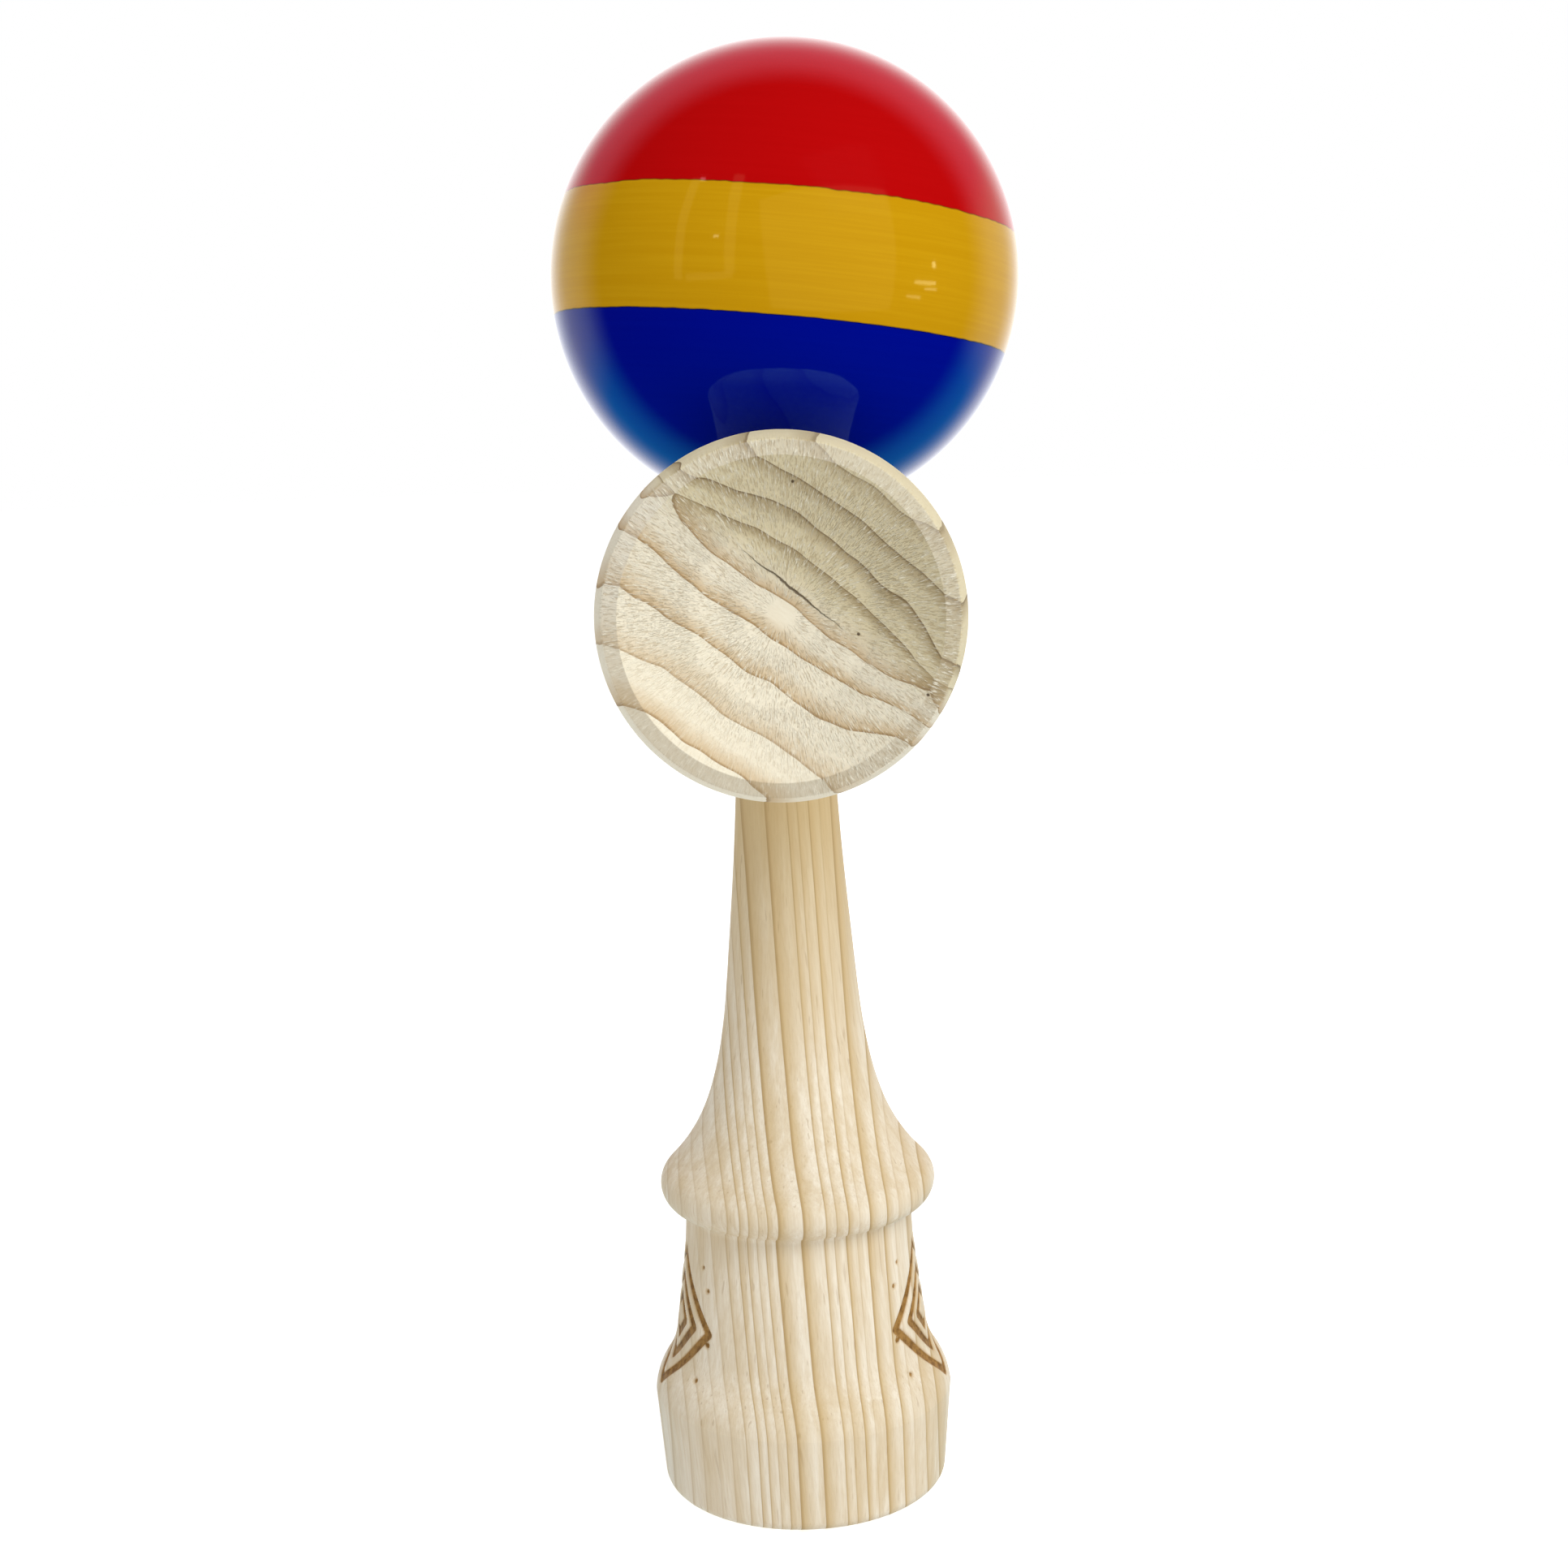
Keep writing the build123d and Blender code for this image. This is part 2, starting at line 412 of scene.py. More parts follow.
def burn_mark(across, up):
    """How deep the burnt lines are at points of the flat layout, from 0 to 1."""
    nearest = np.full(across.shape, np.inf)
    for size in mark_lozenges:
        wide, tall = mark_half_width * size, mark_half_height * size
        tips = [(-wide, 0), (0, tall), (wide, 0), (0, -tall), (-wide, 0)]
        for start, end in zip(tips, tips[1:]):
            nearest = np.minimum(nearest, segment_distance(across, up, start, end))
    nearest = nearest - mark_line_width / 2
    for dot_across, dot_up, dot_radius in mark_dots:
        nearest = np.minimum(nearest, np.hypot(across - dot_across, up - dot_up) - dot_radius)
    return np.clip(0.5 - nearest / mark_edge_width, 0, 1)


def burn_handle(piece):
    """Sink the marks into the body and note where the wood is burnt."""
    mesh = piece.data
    places = np.empty(len(mesh.vertices) * 3)
    mesh.vertices.foreach_get("co", places)
    places = places.reshape(-1, 3)
    x, y, z = places.T / MM
    turn = np.arctan2(x, -y)
    out = np.hypot(x, y)
    burn = np.zeros(len(x))
    reach = (z > mark_low) & (z < mark_high) & (out > mark_least_radius)
    for side in (-1, 1):
        across = (turn * side - mark_side_angle) * mark_body_radius
        burn = np.maximum(burn, burn_mark(across, z - mark_middle) * reach)
    sink = 1 - burn * mark_depth / np.maximum(out, 1)
    places[:, 0] *= sink
    places[:, 1] *= sink
    mesh.vertices.foreach_set("co", places.ravel())
    burnt = mesh.attributes.new("burnt", "FLOAT", "POINT")
    burnt.data.foreach_set("value", burn.astype(np.float32))
    mesh.update()


burn_handle(handle)

# ---- cross-piece: outline in (radius, distance along Y) ----
lip_middle = (big_rim[0] + big_ridge_radius) / 2 + lip_bulge, (big_rim[1] + big_face) / 2
small_lip_middle = (small_rim[0] + small_ridge_radius) / 2 + lip_bulge, (small_rim[1] + small_face) / 2


def arc_through(start, middle, end, pitch=0.25):
    """Arc through three points."""
    ax, ay = start
    bx, by = middle
    cx, cy = end
    d = 2 * (ax * (by - cy) + bx * (cy - ay) + cx * (ay - by))
    a2, b2, c2 = ax**2 + ay**2, bx**2 + by**2, cx**2 + cy**2
    centre = (
        (a2 * (by - cy) + b2 * (cy - ay) + c2 * (ay - by)) / d,
        (a2 * (cx - bx) + b2 * (ax - cx) + c2 * (bx - ax)) / d,
    )
    begin = atan2(ay - centre[1], ax - centre[0])
    sweep = (atan2(cy - centre[1], cx - centre[0]) - begin + pi) % FULL_TURN - pi
    return arc(centre, hypot(ax - centre[0], ay - centre[1]), begin, begin + sweep, pitch)


def softened(outline, corner, radius, steps=8):
    """The outline with the bend at its point nearest to corner rounded off."""
    nearest = min(range(len(outline)), key=lambda i: gap_between(outline[i], corner))
    before, at, after = outline[nearest - 2], outline[nearest], outline[nearest + 2]
    bend = rounded(before, at, after, radius, steps)
    # points this close to the corner would crowd the new bend
    reach = gap_between(bend[0], at) * 1.02
    left = [p for p in outline[:nearest] if gap_between(p, at) > reach]
    right = [p for p in outline[nearest + 1 :] if gap_between(p, at) > reach]
    return left + bend + right


waist = (waist_radius, 0)
big_side, _ = leaving_arc(waist, (0, -1), big_rim, 0.8)
small_side, _ = leaving_arc(waist, (0, 1), small_rim, 0.8)
cross_outline = joined(
    bowl(big_mouth_radius, big_face, big_bowl_radius, 1, 0.5),
    straight((big_mouth_radius, big_face), (big_ridge_radius, big_face), 0.3),
    arc_through((big_ridge_radius, big_face), lip_middle, big_rim),
    big_side[::-1],
    small_side,
    arc_through(small_rim, small_lip_middle, (small_ridge_radius, small_face)),
    straight((small_ridge_radius, small_face), (small_mouth_radius, small_face), 0.3),
    bowl(small_mouth_radius, small_face, small_bowl_radius, -1, 0.5)[::-1],
)
for corner in (big_rim, small_rim):
    cross_outline = softened(cross_outline, corner, rim_round)
for corner in ((big_ridge_radius, big_face), (small_ridge_radius, small_face)):
    cross_outline = softened(cross_outline, corner, ridge_round, 5)
cross_piece = turned("cross_piece_turned", cross_outline, cup_axis, cross_columns)
taper_rate = (taper_top[0] - taper_bottom[0]) / (taper_top[1] - taper_bottom[1])
ream_overshoot = 3
ream_reach = waist_radius + ream_overshoot
ream_ends = [cross_height - ream_reach, cross_height + ream_reach]
ream_radii = [taper_bottom[0] + taper_clearance + taper_rate * (h - taper_bottom[1]) for h in ream_ends]
reamer = turned(
    "reamer",
    [
        (0, ream_ends[0]),
        *straight((ream_radii[0], ream_ends[0]), (ream_radii[1], ream_ends[1]), 1),
        (0, ream_ends[1]),
    ],
    upright,
    180,
)
bevel_end = waist_radius + 1
string_drill = turned(
    "string_drill",
    [
        (0, 1),
        (string_hole_radius, 1),
        (string_hole_radius, waist_radius - string_hole_bevel),
        (string_hole_radius + string_hole_bevel + 1, bevel_end),
        (0, bevel_end),
    ],
    string_axis,
    64,
)
cross_piece = cut(cross_piece, reamer, string_drill)

# ---- ball ----
core_radius = ball_radius - lacquer_thickness
mouth_height = -sqrt(core_radius**2 - bore_mouth_radius**2)
core_sphere_start = atan2(mouth_height, bore_mouth_radius)
core_sphere_end = atan2(sqrt(core_radius**2 - string_hole_radius**2), string_hole_radius)
core_outline = joined(
    arc((0, 0), core_radius, core_sphere_start, core_sphere_end, 1.0),
    straight(
        (string_hole_radius, core_radius * sin(core_sphere_end)),
        (string_hole_radius, bore_end_height),
        2,
    ),
    straight((string_hole_radius, bore_end_height), (bore_radius, bore_end_height), 1),
    straight((bore_radius, bore_end_height), (bore_radius, mouth_height + bore_bevel_depth), 2),
    straight((bore_radius, mouth_height + bore_bevel_depth), (bore_mouth_radius, mouth_height), 1),
)[:-1]
ball_core = turned("ball_core_turned", core_outline, ball_place, 192, closed=True)


def ragged_edge(angle, wildness, seed):
    """How far, in millimetres, a painted edge wanders at an angle round the ball."""
    wander = noise.noise(Vector((3 * cos(angle), 3 * sin(angle), seed)))
    nibble = noise.noise(Vector((24 * cos(angle), 24 * sin(angle), seed + 5)))
    return wildness * (0.6 * wander + 0.4 * nibble)


lower_seam = (-band_half_width, 0.12, 1.0)
upper_seam = (band_half_width, 0.3, 9.0)


def seam_height(seam, angle):
    """Height of a seam at an angle round the ball. A seam without wildness is a turned edge."""
    height, wildness, seed = seam
    return height + ragged_edge(angle, wildness, seed) if wildness else height


def coat(name, lower, upper, columns=512):
    """A coat of lacquer between two seams, as a thin closed shell on the ball."""
    shape = bmesh.new()
    seam_layer = shape.verts.layers.float.new("seam")
    # rows crowd towards both seams on the outside, and are few on the inside
    outer_steps = [0, 0.004, 0.01, 0.02, *np.linspace(0.035, 0.965, 56), 0.98, 0.99, 0.996, 1]
    inner_steps = np.linspace(1, 0, 24)
    grid = []
    for column in range(columns):
        angle = FULL_TURN * column / columns
        low, high = seam_height(lower, angle), seam_height(upper, angle)
        low_tilt, high_tilt = (np.arcsin(h / ball_radius) for h in (low, high))
        line = []
        for skin, steps in ((ball_radius, outer_steps), (core_radius, inner_steps)):
            for share in steps:
                tilt = low_tilt + (high_tilt - low_tilt) * share
                spot = Vector((cos(tilt) * cos(angle), cos(tilt) * sin(angle), sin(tilt))) * skin * MM
                vert = shape.verts.new(ball_place @ spot)
                gaps = []
                if lower[1]:
                    gaps.append((tilt - low_tilt) * ball_radius)
                if upper[1]:
                    gaps.append((high_tilt - tilt) * ball_radius)
                vert[seam_layer] = min(gaps)
                line.append(vert)
        grid.append(line)
    for column in range(columns):
        here, there = grid[column], grid[(column + 1) % columns]
        for row in range(len(here)):
            up = (row + 1) % len(here)
            shape.faces.new([here[row], there[row], there[up], here[up]])
    return finish_mesh(name, mesh_of(name, shape), radians(40))


mouth_edge = (-sqrt(ball_radius**2 - bore_mouth_radius**2), 0, 0)
top_edge = (sqrt(ball_radius**2 - string_hole_radius**2), 0, 0)
coats = {
    "blue_lacquer": coat("blue_lacquer_coat", mouth_edge, lower_seam),
    "yellow_lacquer": coat("yellow_lacquer_coat", lower_seam, upper_seam),
    "red_lacquer": coat("red_lacquer_coat", upper_seam, top_edge),
}

# ---- bead ----
bead_top = bore_end_height - bead_gap
bead_bottom = bead_top - bead_length
bead_low_corner = (bead_radius, bead_bottom)
bead_high_corner = (bead_radius, bead_top)
bead_low_hole = (bead_hole_radius, bead_bottom)
bead_high_hole = (bead_hole_radius, bead_top)
bead_outline = joined(
    [bead_low_hole],
    rounded(bead_low_hole, bead_low_corner, bead_high_corner, bead_round),
    rounded(bead_low_corner, bead_high_corner, bead_high_hole, bead_round),
    [bead_high_hole],
    straight(bead_high_hole, bead_low_hole, 1)[1:-1],
)
bead = turned("string_bead_turned", bead_outline, ball_place, 72, closed=True)


# ---- materials ----
def shade(red, green, blue):
    """A display colour from 0 to 255 as the linear colour that shaders take."""
    made = []
    for value in (red, green, blue):
        share = value / 255
        made.append(share / 12.92 if share <= 0.04045 else ((share + 0.055) / 1.055) ** 2.4)
    return (*made, 1)


def place_node(tree, kind, values=None, **settings):
    """A node with its settings, and its inputs linked or set."""
    made = tree.nodes.new(kind)
    for name, value in settings.items():
        setattr(made, name, value)
    for name, value in (values or {}).items():
        if isinstance(value, bpy.types.NodeSocket):
            tree.links.new(value, made.inputs[name])
        else:
            made.inputs[name].default_value = value
    return made


def maths(tree, operation, *values):
    return place_node(tree, "ShaderNodeMath", dict(enumerate(values)), operation=operation).outputs[0]


def added(tree, first, second):
    return maths(tree, "ADD", first, second)


def product(tree, first, second):
    return maths(tree, "MULTIPLY", first, second)


def vector_of(tree, operation, *values):
    inputs = dict(enumerate(values))
    if operation == "SCALE":
        inputs["Scale"] = inputs.pop(1)
    made = place_node(tree, "ShaderNodeVectorMath", inputs, operation=operation)
    return made.outputs["Value" if operation in ("DOT_PRODUCT", "LENGTH") else "Vector"]


def blend_of(tree, share, first, second):
    """Two colours mixed by a share from 0 to 1."""
    # inputs 6 and 7 of this node are its two colours, and output 2 is the mixed one
    made = place_node(
        tree, "ShaderNodeMix", {0: share, 6: first, 7: second}, data_type="RGBA", clamp_factor=True
    )
    return made.outputs[2]


def toned(tree, colour, mask, share, tone):
    """A colour moved towards a tone by a share, where the mask is on."""
    return blend_of(tree, product(tree, mask, share), colour, tone)


def spread(tree, value, low, high, to_low=0.0, to_high=1.0, kind="SMOOTHSTEP"):
    """A value mapped from one range to another and held inside it."""
    made = place_node(
        tree,
        "ShaderNodeMapRange",
        {"Value": value, "From Min": low, "From Max": high, "To Min": to_low, "To Max": to_high},
        interpolation_type=kind,
    )
    return made.outputs["Result"]


def mottle(tree, point, scale, detail=2.0, rough=0.5):
    """Soft noise between 0 and 1."""
    values = {"Vector": point, "Scale": scale, "Detail": detail, "Roughness": rough}
    return place_node(tree, "ShaderNodeTexNoise", values).outputs["Fac"]


def steps_of(tree, value, stops, kind):
    """A ramp of grey steps at given places."""
    made = place_node(tree, "ShaderNodeValToRGB", {"Fac": value})
    ramp = made.color_ramp
    ramp.interpolation = kind
    while len(ramp.elements) > 1:
        ramp.elements.remove(ramp.elements[-1])
    for number, (place, level) in enumerate(stops):
        stop = ramp.elements[0] if number == 0 else ramp.elements.new(place)
        stop.position = place
        stop.color = (level, level, level, 1)
    return made.outputs["Color"]


def new_group(name, vectors, numbers, results):
    """An empty node group with named vector and number inputs, and number outputs."""
    tree = bpy.data.node_groups.new(name, "ShaderNodeTree")
    sockets = [(socket, "INPUT", "Vector") for socket in vectors]
    sockets += [(socket, "INPUT", "Float") for socket in numbers]
    sockets += [(socket, "OUTPUT", "Float") for socket in results]
    for socket, side, kind in sockets:
        tree.interface.new_socket(socket, in_out=side, socket_type=f"NodeSocket{kind}")
    given = tree.nodes.new("NodeGroupInput").outputs
    result = tree.nodes.new("NodeGroupOutput").inputs
    return tree, given, result


def use_group(tree, group, values):
    # the group has to be set before its inputs exist
    made = place_node(tree, "ShaderNodeGroup", values, node_tree=group)
    return made.outputs


def make_growth_rings():
    """Distance from the pith of the log, with the waves that real rings have."""
    tree, given, result = new_group(
        "growth_rings",
        ["Point", "Pith", "Grain"],
        ["Wave Height", "Wave Scale", "Wave Stretch"],
        ["Distance"],
    )
    from_pith = vector_of(tree, "SUBTRACT", given["Point"], given["Pith"])
    along = vector_of(tree, "DOT_PRODUCT", from_pith, given["Grain"])
    lengthwise = vector_of(tree, "SCALE", given["Grain"], along)
    across = vector_of(tree, "SUBTRACT", from_pith, lengthwise)
    squeezed = vector_of(tree, "SCALE", lengthwise, maths(tree, "DIVIDE", 1.0, given["Wave Stretch"]))
    wave_point = vector_of(tree, "ADD", across, squeezed)
    wave = mottle(tree, wave_point, given["Wave Scale"], 1.5)
    wave = product(tree, maths(tree, "SUBTRACT", wave, 0.5), given["Wave Height"])
    distance = added(tree, vector_of(tree, "LENGTH", across), wave)
    tree.links.new(distance, result["Distance"])
    return tree


def make_late_wood():
    """The dark end of each ring: a soft rise, a thin line, then a sharp stop."""
    tree, given, result = new_group(
        "late_wood",
        [],
        ["Ring Count", "Darkness", "Start", "Softness", "Line Start"],
        ["Shade", "Line"],
    )
    share = maths(tree, "FRACT", given["Ring Count"])
    rise = spread(tree, share, given["Start"], 1.0, kind="LINEAR")
    rise = maths(tree, "POWER", rise, given["Softness"])
    stop = spread(tree, share, 0.965, 1.0, 1.0, 0.6)
    tree.links.new(
        product(tree, product(tree, rise, given["Darkness"]), stop),
        result["Shade"],
    )
    line = spread(tree, share, given["Line Start"], 0.99)
    tree.links.new(product(tree, line, given["Darkness"]), result["Line"])
    return tree


def make_fibres():
    """Fine streaks that run with the grain, and short dark flecks among them."""
    tree, given, result = new_group(
        "fibres", ["Point", "Grain"], ["Fineness", "Stretch"], ["Streak", "Fleck"]
    )
    along = vector_of(tree, "DOT_PRODUCT", given["Point"], given["Grain"])
    kept = maths(tree, "SUBTRACT", 1.0, maths(tree, "DIVIDE", 1.0, given["Stretch"]))
    shift = vector_of(tree, "SCALE", given["Grain"], product(tree, along, kept))
    drawn = vector_of(tree, "SUBTRACT", given["Point"], shift)
    streak = mottle(tree, drawn, given["Fineness"], 4.0, 0.65)
    tree.links.new(streak, result["Streak"])
    fleck = mottle(tree, drawn, product(tree, given["Fineness"], 1.7), 1.0, 0.4)
    tree.links.new(spread(tree, fleck, 0.68, 0.78), result["Fleck"])
    return tree


growth_rings = make_growth_rings()
late_wood = make_late_wood()
fibres = make_fibres()


def ring_distance(tree, point, pith, grain, height, scale, stretch):
    """Distance of a point from the pith, with waves of a given height, scale and stretch."""
    values = {"Point": point, "Pith": pith, "Grain": grain}
    values |= {"Wave Height": height, "Wave Scale": scale, "Wave Stretch": stretch}
    return use_group(tree, growth_rings, values)["Distance"]


def late_part(tree, count, darkness, start, softness, line_start):
    """Late wood that starts at a share of each ring's width, and its line at another."""
    values = {"Ring Count": count, "Darkness": darkness, "Start": start}
    values |= {"Softness": softness, "Line Start": line_start}
    return use_group(tree, late_wood, values)


def fibre_streaks(tree, point, grain, fineness, stretch):
    values = {"Point": point, "Grain": grain, "Fineness": fineness, "Stretch": stretch}
    return use_group(tree, fibres, values)


def new_material(name):
    material = bpy.data.materials.new(name)
    material.use_nodes = True
    tree = material.node_tree
    tree.nodes.clear()
    out = tree.nodes.new("ShaderNodeOutputMaterial")
    surface = tree.nodes.new("ShaderNodeBsdfPrincipled")
    tree.links.new(surface.outputs["BSDF"], out.inputs["Surface"])
    return material, tree, surface


def millimetre_point(tree):
    """The place on the piece, in millimetres."""
    spot = tree.nodes.new("ShaderNodeTexCoord").outputs["Object"]
    return vector_of(tree, "SCALE", spot, 1000.0)


def ring_count(tree, distance, edges):
    """How many rings lie inside a distance from the pith, and how dark this one is.
    Each edge is its distance from the pith and the darkness of the ring inside it."""
    near, far = edges[0][0], edges[-1][0]
    count = len(edges) - 1
    share = spread(tree, distance, near, far, kind="LINEAR")
    stops = [((place - near) / (far - near), number / count) for number, (place, _) in enumerate(edges)]
    rings = product(tree, steps_of(tree, share, stops, "LINEAR"), float(count))
    middle = added(tree, maths(tree, "FLOOR", rings), 0.5)
    middle = maths(tree, "DIVIDE", middle, float(count))
    levels = [(number / count, edges[number + 1][1]) for number in range(count)]
    darkness = steps_of(tree, middle, levels, "CONSTANT")
    return rings, darkness


def set_looks(surface, looks):
    for name, value in looks.items():
        surface.inputs[name].default_value = value


def surface_relief(tree, surface, height, distance_mm):
    bump = place_node(
        tree, "ShaderNodeBump", {"Height": height, "Distance": distance_mm * MM, "Strength": 1.0}
    )
    tree.links.new(bump.outputs["Normal"], surface.inputs["Normal"])


handle_grain = Vector((-0.0425, 0, 1)).normalized()
handle_pith = (90.0, -1.9, 0)
handle_edges = [
    (64.0, 0.5), (66.8, 0.6), (69.4, 0.7), (72.1, 0.85), (74.2, 0.7), (76.1, 0.3), (77.8, 0.9),
    (80.3, 1.0), (81.8, 0.35), (83.3, 1.0), (84.9, 0.6), (86.2, 0.8), (89.1, 1.0), (92.2, 1.0),
    (93.5, 0.8), (94.6, 0.5), (95.8, 0.75), (96.9, 0.8), (98.4, 0.55), (100.2, 0.35),
    (101.9, 0.25), (103.8, 0.35), (105.4, 0.35), (107.6, 0.4), (109.2, 0.4), (111.5, 0.4),
]


def handle_pine():
    material, tree, surface = new_material("handle_pine")
    point = millimetre_point(tree)
    distance = ring_distance(tree, point, handle_pith, handle_grain, 0.75, 0.08, 5.0)
    count, darkness = ring_count(tree, distance, handle_edges)
    late = late_part(tree, count, darkness, 0.3, 0.95, 0.82)
    grain = fibre_streaks(tree, point, handle_grain, 1.5, 45.0)
    fine_grain = fibre_streaks(tree, point, handle_grain, 4.5, 30.0)
    bands = fibre_streaks(tree, point, handle_grain, 0.3, 60.0)
    cream = shade(247, 237, 217)
    tan = shade(211, 184, 134)
    line_brown = shade(172, 138, 88)
    # the stem is painted darker and yellower towards the cross-piece: partly the wood's own yellowing where
    # it was handled most, partly painted shade and painted yellow bounce light under the cup
    height = place_node(tree, "ShaderNodeSeparateXYZ", {0: point}).outputs["Z"]
    yellowed_and_painted_shade = spread(tree, height, 58.0, 96.0)
    cream = toned(tree, cream, yellowed_and_painted_shade, 0.95, shade(220, 197, 150))
    cream = toned(tree, cream, spread(tree, bands["Streak"], 0.45, 0.6), 0.3, tan)
    colour = blend_of(tree, late["Shade"], cream, tan)
    streak = spread(tree, grain["Streak"], 0.36, 0.66)
    colour = toned(tree, colour, streak, 0.22, shade(208, 180, 132))
    colour = toned(tree, colour, late["Line"], 0.6, line_brown)
    fine_streak = spread(tree, fine_grain["Streak"], 0.4, 0.68)
    colour = toned(tree, colour, fine_streak, 0.16, shade(190, 158, 108))
    colour = toned(tree, colour, grain["Fleck"], 0.3, shade(164, 128, 80))
    honey = spread(tree, mottle(tree, point, 0.05, 1.0), 0.4, 0.75)
    colour = toned(tree, colour, honey, 0.26, shade(212, 184, 132))
    burnt = place_node(tree, "ShaderNodeAttribute", attribute_name="burnt").outputs["Fac"]
    char = mottle(tree, point, 0.9, 3.0, 0.7)
    burnt_colour = blend_of(tree, spread(tree, char, 0.35, 0.7), shade(172, 130, 70), shade(124, 86, 38))
    scorched = product(tree, spread(tree, burnt, 0.04, 0.3), 0.35)
    colour = blend_of(tree, scorched, colour, shade(206, 170, 112))
    colour = blend_of(tree, spread(tree, burnt, 0.3, 0.75), colour, burnt_colour)
    tree.links.new(colour, surface.inputs["Base Color"])
    tree.links.new(spread(tree, grain["Streak"], 0.3, 0.7, 0.48, 0.6), surface.inputs["Roughness"])
    set_looks(surface, {"Specular IOR Level": 0.15})
    relief = added(tree, product(tree, fine_streak, 0.6), late["Shade"])
    surface_relief(tree, surface, relief, 0.02)
    return material


cross_grain = Vector((0.79, 0.0, -0.61)).normalized()
cross_pith = (2.99, -26.6, 123.87)
# how far the pith bows over a length squared, which is held at a limit
cross_bend = 0.0148
bend_limit = 470.0
across_grain = Vector((0.61, 0.0, 0.79)).normalized()
cross_edges = [
    (0.0, 0.0), (3.4, 0.9), (7.5, 1.0), (11.6, 0.9), (16.8, 0.65), (22.4, 0.9), (27.2, 0.8),
    (31.3, 0.7), (35.2, 0.8), (39.5, 0.8), (43.6, 0.7), (47.4, 0.75), (52.0, 0.7), (56.2, 0.7),
    (60.1, 0.75), (64.3, 0.7), (68.5, 0.7), (73.0, 0.7),
]
# in the big cup, as (x, height) from the cup's axis
crack_start = (-4.8, 8.2)
crack_end = (7.6, -2.2)
pinholes = [(1.8, 15.9), (9.1, -2.5), (16.8, -9.2)]


def cup_crack(tree, flat, facing_big_cup):
    """A fine drying crack beside the pith, with a few pinholes."""
    start = Vector((crack_start[0], 0, crack_start[1]))
    run = Vector((crack_end[0], 0, crack_end[1])) - start
    heading = run.normalized()
    beside = Vector((-heading.z, 0, heading.x))
    from_start = vector_of(tree, "SUBTRACT", flat, start)
    along = vector_of(tree, "DOT_PRODUCT", from_start, heading)
    off = vector_of(tree, "DOT_PRODUCT", from_start, beside)
    wander = maths(tree, "SUBTRACT", mottle(tree, flat, 0.3, 4.0, 0.65), 0.5)
    off = added(tree, off, wander)
    width = maths(tree, "PINGPONG", along, run.length / 2)
    width = product(tree, width, 0.02)
    after_start = spread(tree, along, 0.0, 0.6)
    before_end = spread(tree, along, run.length, run.length - 0.6)
    inside = product(tree, after_start, before_end)
    line = maths(tree, "SUBTRACT", width, maths(tree, "ABSOLUTE", off))
    crack = product(tree, spread(tree, line, -0.06, 0.1), inside)
    for spot in pinholes:
        gap = vector_of(tree, "LENGTH", vector_of(tree, "SUBTRACT", flat, (spot[0], 0, spot[1])))
        crack = maths(tree, "MAXIMUM", crack, spread(tree, gap, 0.22, 0.1))
    return product(tree, crack, facing_big_cup)


def torn_strokes(tree, flat, out):
    """Short strokes of torn fibre that point away from the cup's centre, from 0 to 1."""
    bearing = vector_of(tree, "NORMALIZE", flat)
    stroke = 0.5
    for turns, near in ((16.0, 0.3), (44.0, 3.0), (100.0, 9.0)):
        values = {"Vector": vector_of(tree, "SCALE", bearing, turns), "W": product(tree, out, 1.1)}
        values |= {"Scale": 1.0, "Detail": 2.5, "Roughness": 0.6}
        lifted = place_node(tree, "ShaderNodeTexNoise", values, noise_dimensions="4D").outputs["Fac"]
        # inputs 2 and 3 of this node are its two numbers
        values = {0: spread(tree, out, near, near + 3.0), 2: stroke, 3: lifted}
        stroke = place_node(tree, "ShaderNodeMix", values, data_type="FLOAT").outputs[0]
    return stroke


def ring_face_mask(tree, out, depth, mouth, ridge, face):
    """The flat ring round a cup's mouth, from 0 to 1."""
    inside = 1 if face > 0 else -1
    past_mouth = spread(tree, out, mouth - 0.1, mouth + 0.1)
    within_ridge = spread(tree, out, ridge, ridge - 0.15)
    at_face = spread(tree, depth, face - 0.5 * inside, face - 0.3 * inside)
    return product(tree, product(tree, past_mouth, within_ridge), at_face)


